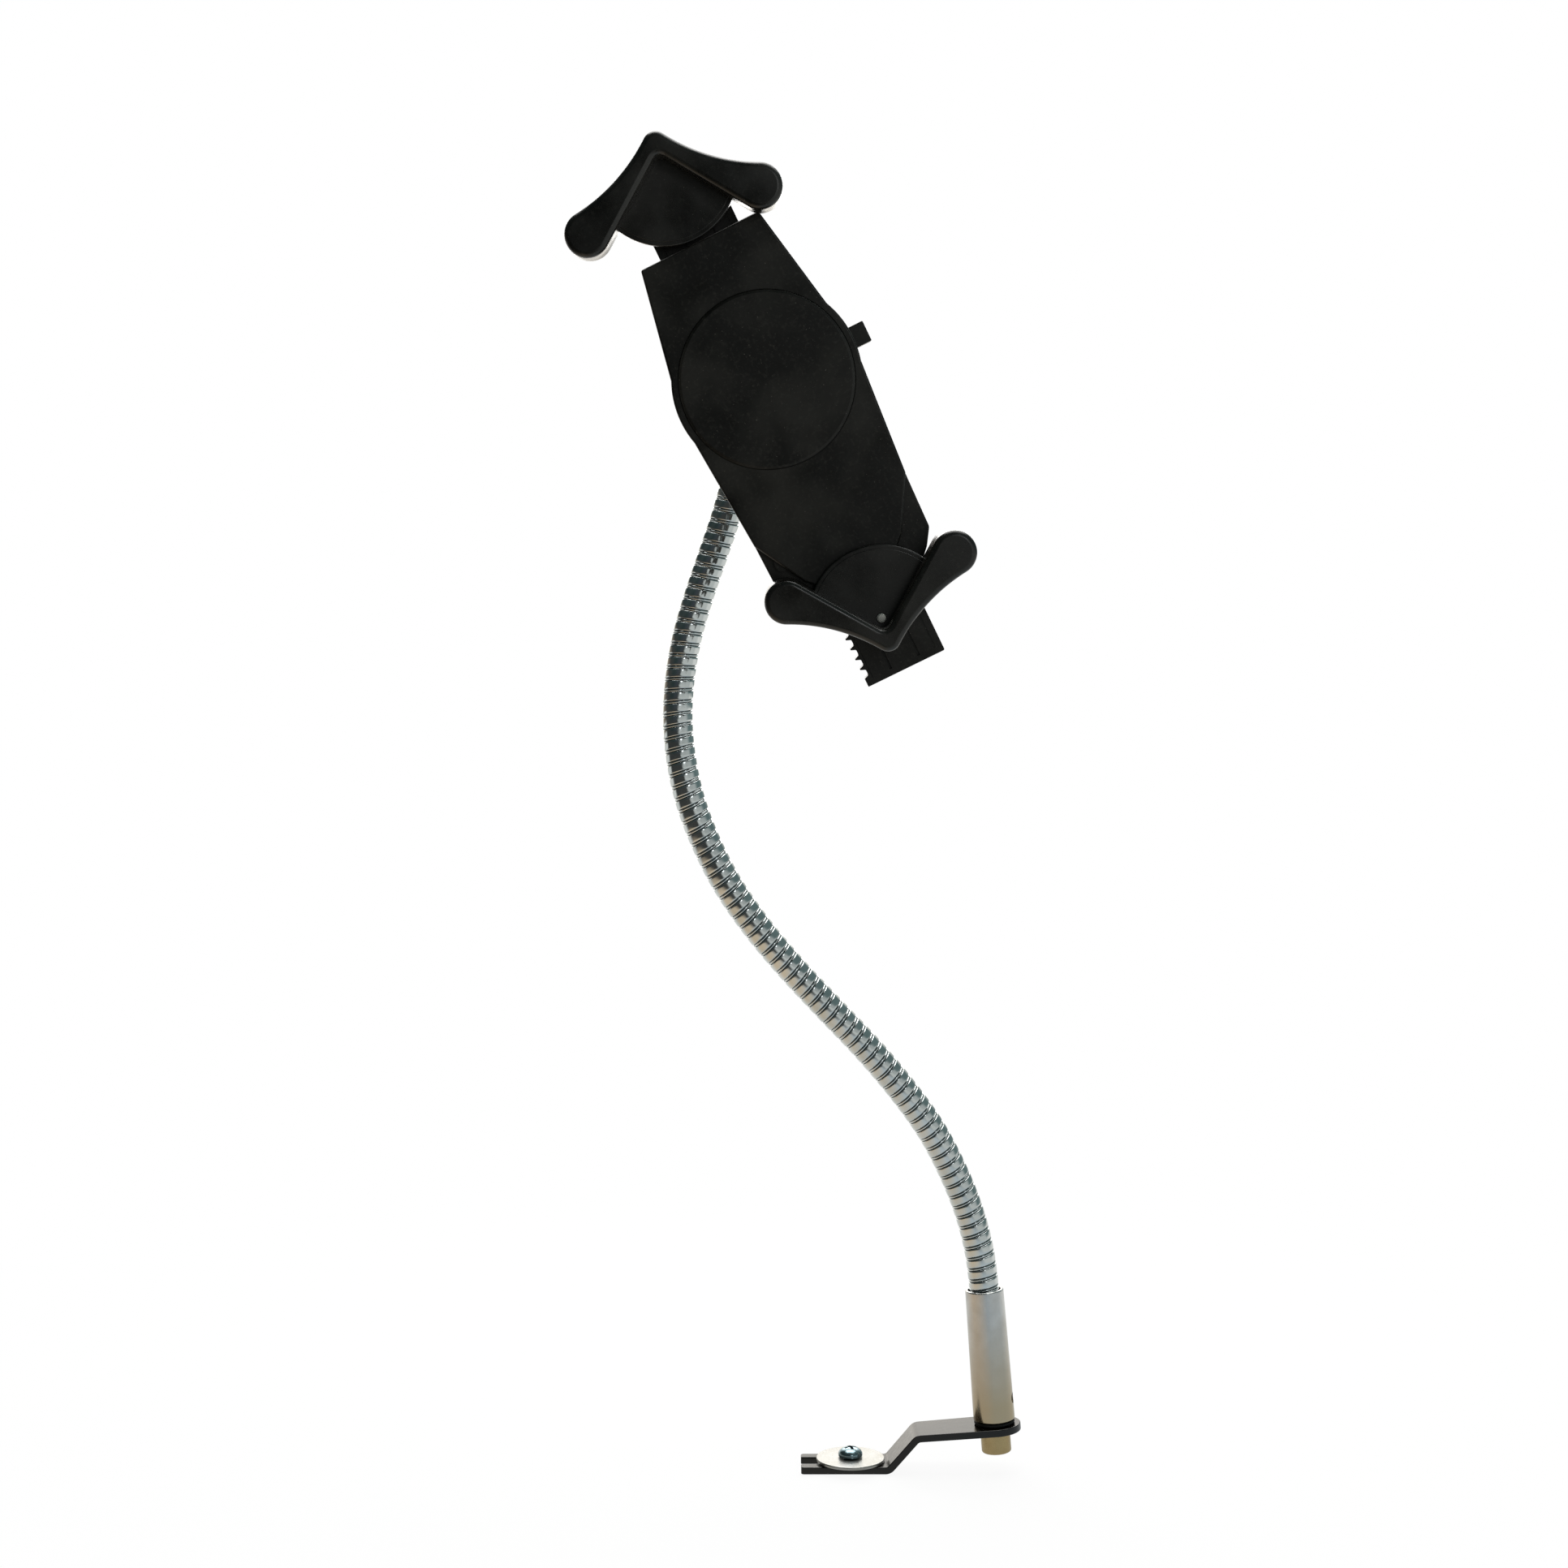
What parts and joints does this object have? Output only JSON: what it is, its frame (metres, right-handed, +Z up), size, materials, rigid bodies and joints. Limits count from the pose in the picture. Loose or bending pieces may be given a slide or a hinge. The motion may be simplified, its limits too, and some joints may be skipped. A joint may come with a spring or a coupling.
{
  "type": "gooseneck tablet holder",
  "caption": "Corner-gripping tablet clamp with a sliding ratchet bar, on a bendable metal gooseneck that rises from an offset slotted floor bracket.",
  "frame": {"origin": "underside of the bracket's foot, between the closed end of its slot and its first bend", "axes": "+Z up, square to the foot; the clamp's front faces -Y; +X runs along the bracket from the slot to the post"},
  "size_m": [0.1714, 0.1597, 0.5015],
  "materials": {
    "black_paint": "satin",
    "bright_zinc": "satin",
    "blue_zinc": "gloss",
    "yellow_zinc": "satin",
    "nickel": "polished",
    "neck_chrome": "polished",
    "core_steel": "satin",
    "shell_plastic": "fine texture",
    "jaw_plastic": "semi-gloss",
    "bar_plastic": "satin",
    "pad_rubber": "matte",
    "pin_steel": "satin",
    "seat_nylon": "satin",
    "washer_rubber": "matte"
  },
  "bodies": {
    "bracket": {"offset_bracket": "black_paint", "swivel_washer": "washer_rubber"},
    "floor_fixing": {"fender_washer": "bright_zinc", "floor_screw": "blue_zinc"},
    "post": {"post_screw": "yellow_zinc", "base_ferrule": "nickel", "ferrule_set_screw": "core_steel", "neck_segment_1": "neck_chrome", "neck_core_1": "core_steel"},
    "neck_2": {"neck_segment_2": "neck_chrome", "neck_core_2": "core_steel"},
    "neck_3": {"neck_segment_3": "neck_chrome", "neck_core_3": "core_steel"},
    "neck_4": {"neck_segment_4": "neck_chrome", "neck_core_4": "core_steel"},
    "neck_5": {"neck_segment_5": "neck_chrome", "neck_core_5": "core_steel", "neck_collar": "nickel", "ball_stud": "nickel"},
    "ball_seat": {"ball_seat": "seat_nylon"},
    "lock_ring": {"lock_ring": "bar_plastic"},
    "head": {"rear_shell": "shell_plastic", "front_shell": "shell_plastic", "front_pad": "pad_rubber", "housing_screw_1": "blue_zinc", "housing_screw_2": "blue_zinc", "housing_screw_3": "blue_zinc", "housing_screw_4": "blue_zinc", "lower_pivot_pin": "pin_steel"},
    "bar": {"ratchet_bar": "bar_plastic", "upper_pivot_pin": "pin_steel"},
    "upper_jaw": {"upper_jaw": "jaw_plastic"},
    "lower_jaw": {"lower_jaw": "jaw_plastic"},
    "release": {"release_button": "bar_plastic", "latch_slide": "bar_plastic", "latch_spring": "pin_steel"}
  },
  "joints": [
    {"name": "slot_slide", "type": "slide", "parent": "bracket", "child": "floor_fixing", "axis": [1, 0, 0], "range_m": [-0.012, 0]},
    {"name": "ferrule_swivel", "type": "hinge", "parent": "bracket", "child": "post", "pos_m": [0.0491, 0, 0.01831], "axis": [-0.0767, 0, 0.9971], "range_deg": [-90, 90]},
    {"name": "neck_bend_1", "type": "hinge", "parent": "post", "child": "neck_2", "pos_m": [0.02246, -0.00454, 0.13902], "axis": [-0.0733, 0.9904, 0.1172], "range_deg": [-20, 20]},
    {"name": "neck_bend_2", "type": "hinge", "parent": "neck_2", "child": "neck_3", "pos_m": [-0.03277, -0.01576, 0.20378], "axis": [-0.7478, 0, -0.6639], "range_deg": [-20, 20]},
    {"name": "neck_bend_3", "type": "hinge", "parent": "neck_3", "child": "neck_4", "pos_m": [-0.07505, -0.02399, 0.27713], "axis": [-0.0147, 0.998, 0.0613], "range_deg": [-20, 20]},
    {"name": "neck_bend_4", "type": "hinge", "parent": "neck_4", "child": "neck_5", "pos_m": [-0.06699, -0.02758, 0.36126], "axis": [-0.9433, 0, 0.3319], "range_deg": [-20, 20]},
    {"name": "head_pan", "type": "hinge", "parent": "neck_5", "child": "ball_seat", "pos_m": [-0.0425, -0.08835, 0.42459], "axis": [-0.4415, -0.1373, 0.8867], "range_deg": [-8, 8]},
    {"name": "head_tilt", "type": "hinge", "parent": "ball_seat", "child": "lock_ring", "pos_m": [-0.0425, -0.08835, 0.42459], "axis": [0.8973, -0.0675, 0.4363], "range_deg": [-8, 8]},
    {"name": "head_rotate", "type": "hinge", "parent": "lock_ring", "child": "head", "pos_m": [-0.0425, -0.08835, 0.42459], "axis": [0, -0.9882, -0.153], "range_deg": [-90, 90]},
    {"name": "bar_slide", "type": "slide", "parent": "head", "child": "bar", "axis": [-0.4415, -0.1373, 0.8867], "range_m": [0, 0.09]},
    {"name": "upper_jaw_pivot", "type": "hinge", "parent": "bar", "child": "upper_jaw", "pos_m": [-0.07838, -0.12895, 0.49072], "axis": [0, -0.9882, -0.153], "range_deg": [0, 21.8]},
    {"name": "lower_jaw_pivot", "type": "hinge", "parent": "head", "child": "lower_jaw", "pos_m": [-0.00175, -0.10523, 0.33749], "axis": [0, -0.9882, -0.153], "range_deg": [0, 19.6]},
    {"name": "release_press", "type": "slide", "parent": "head", "child": "release", "axis": [-0.8973, 0.0675, -0.4363], "range_m": [0, 0.0028], "stiffness_N_per_m": 600, "springref_m": -0.002}
  ]
}
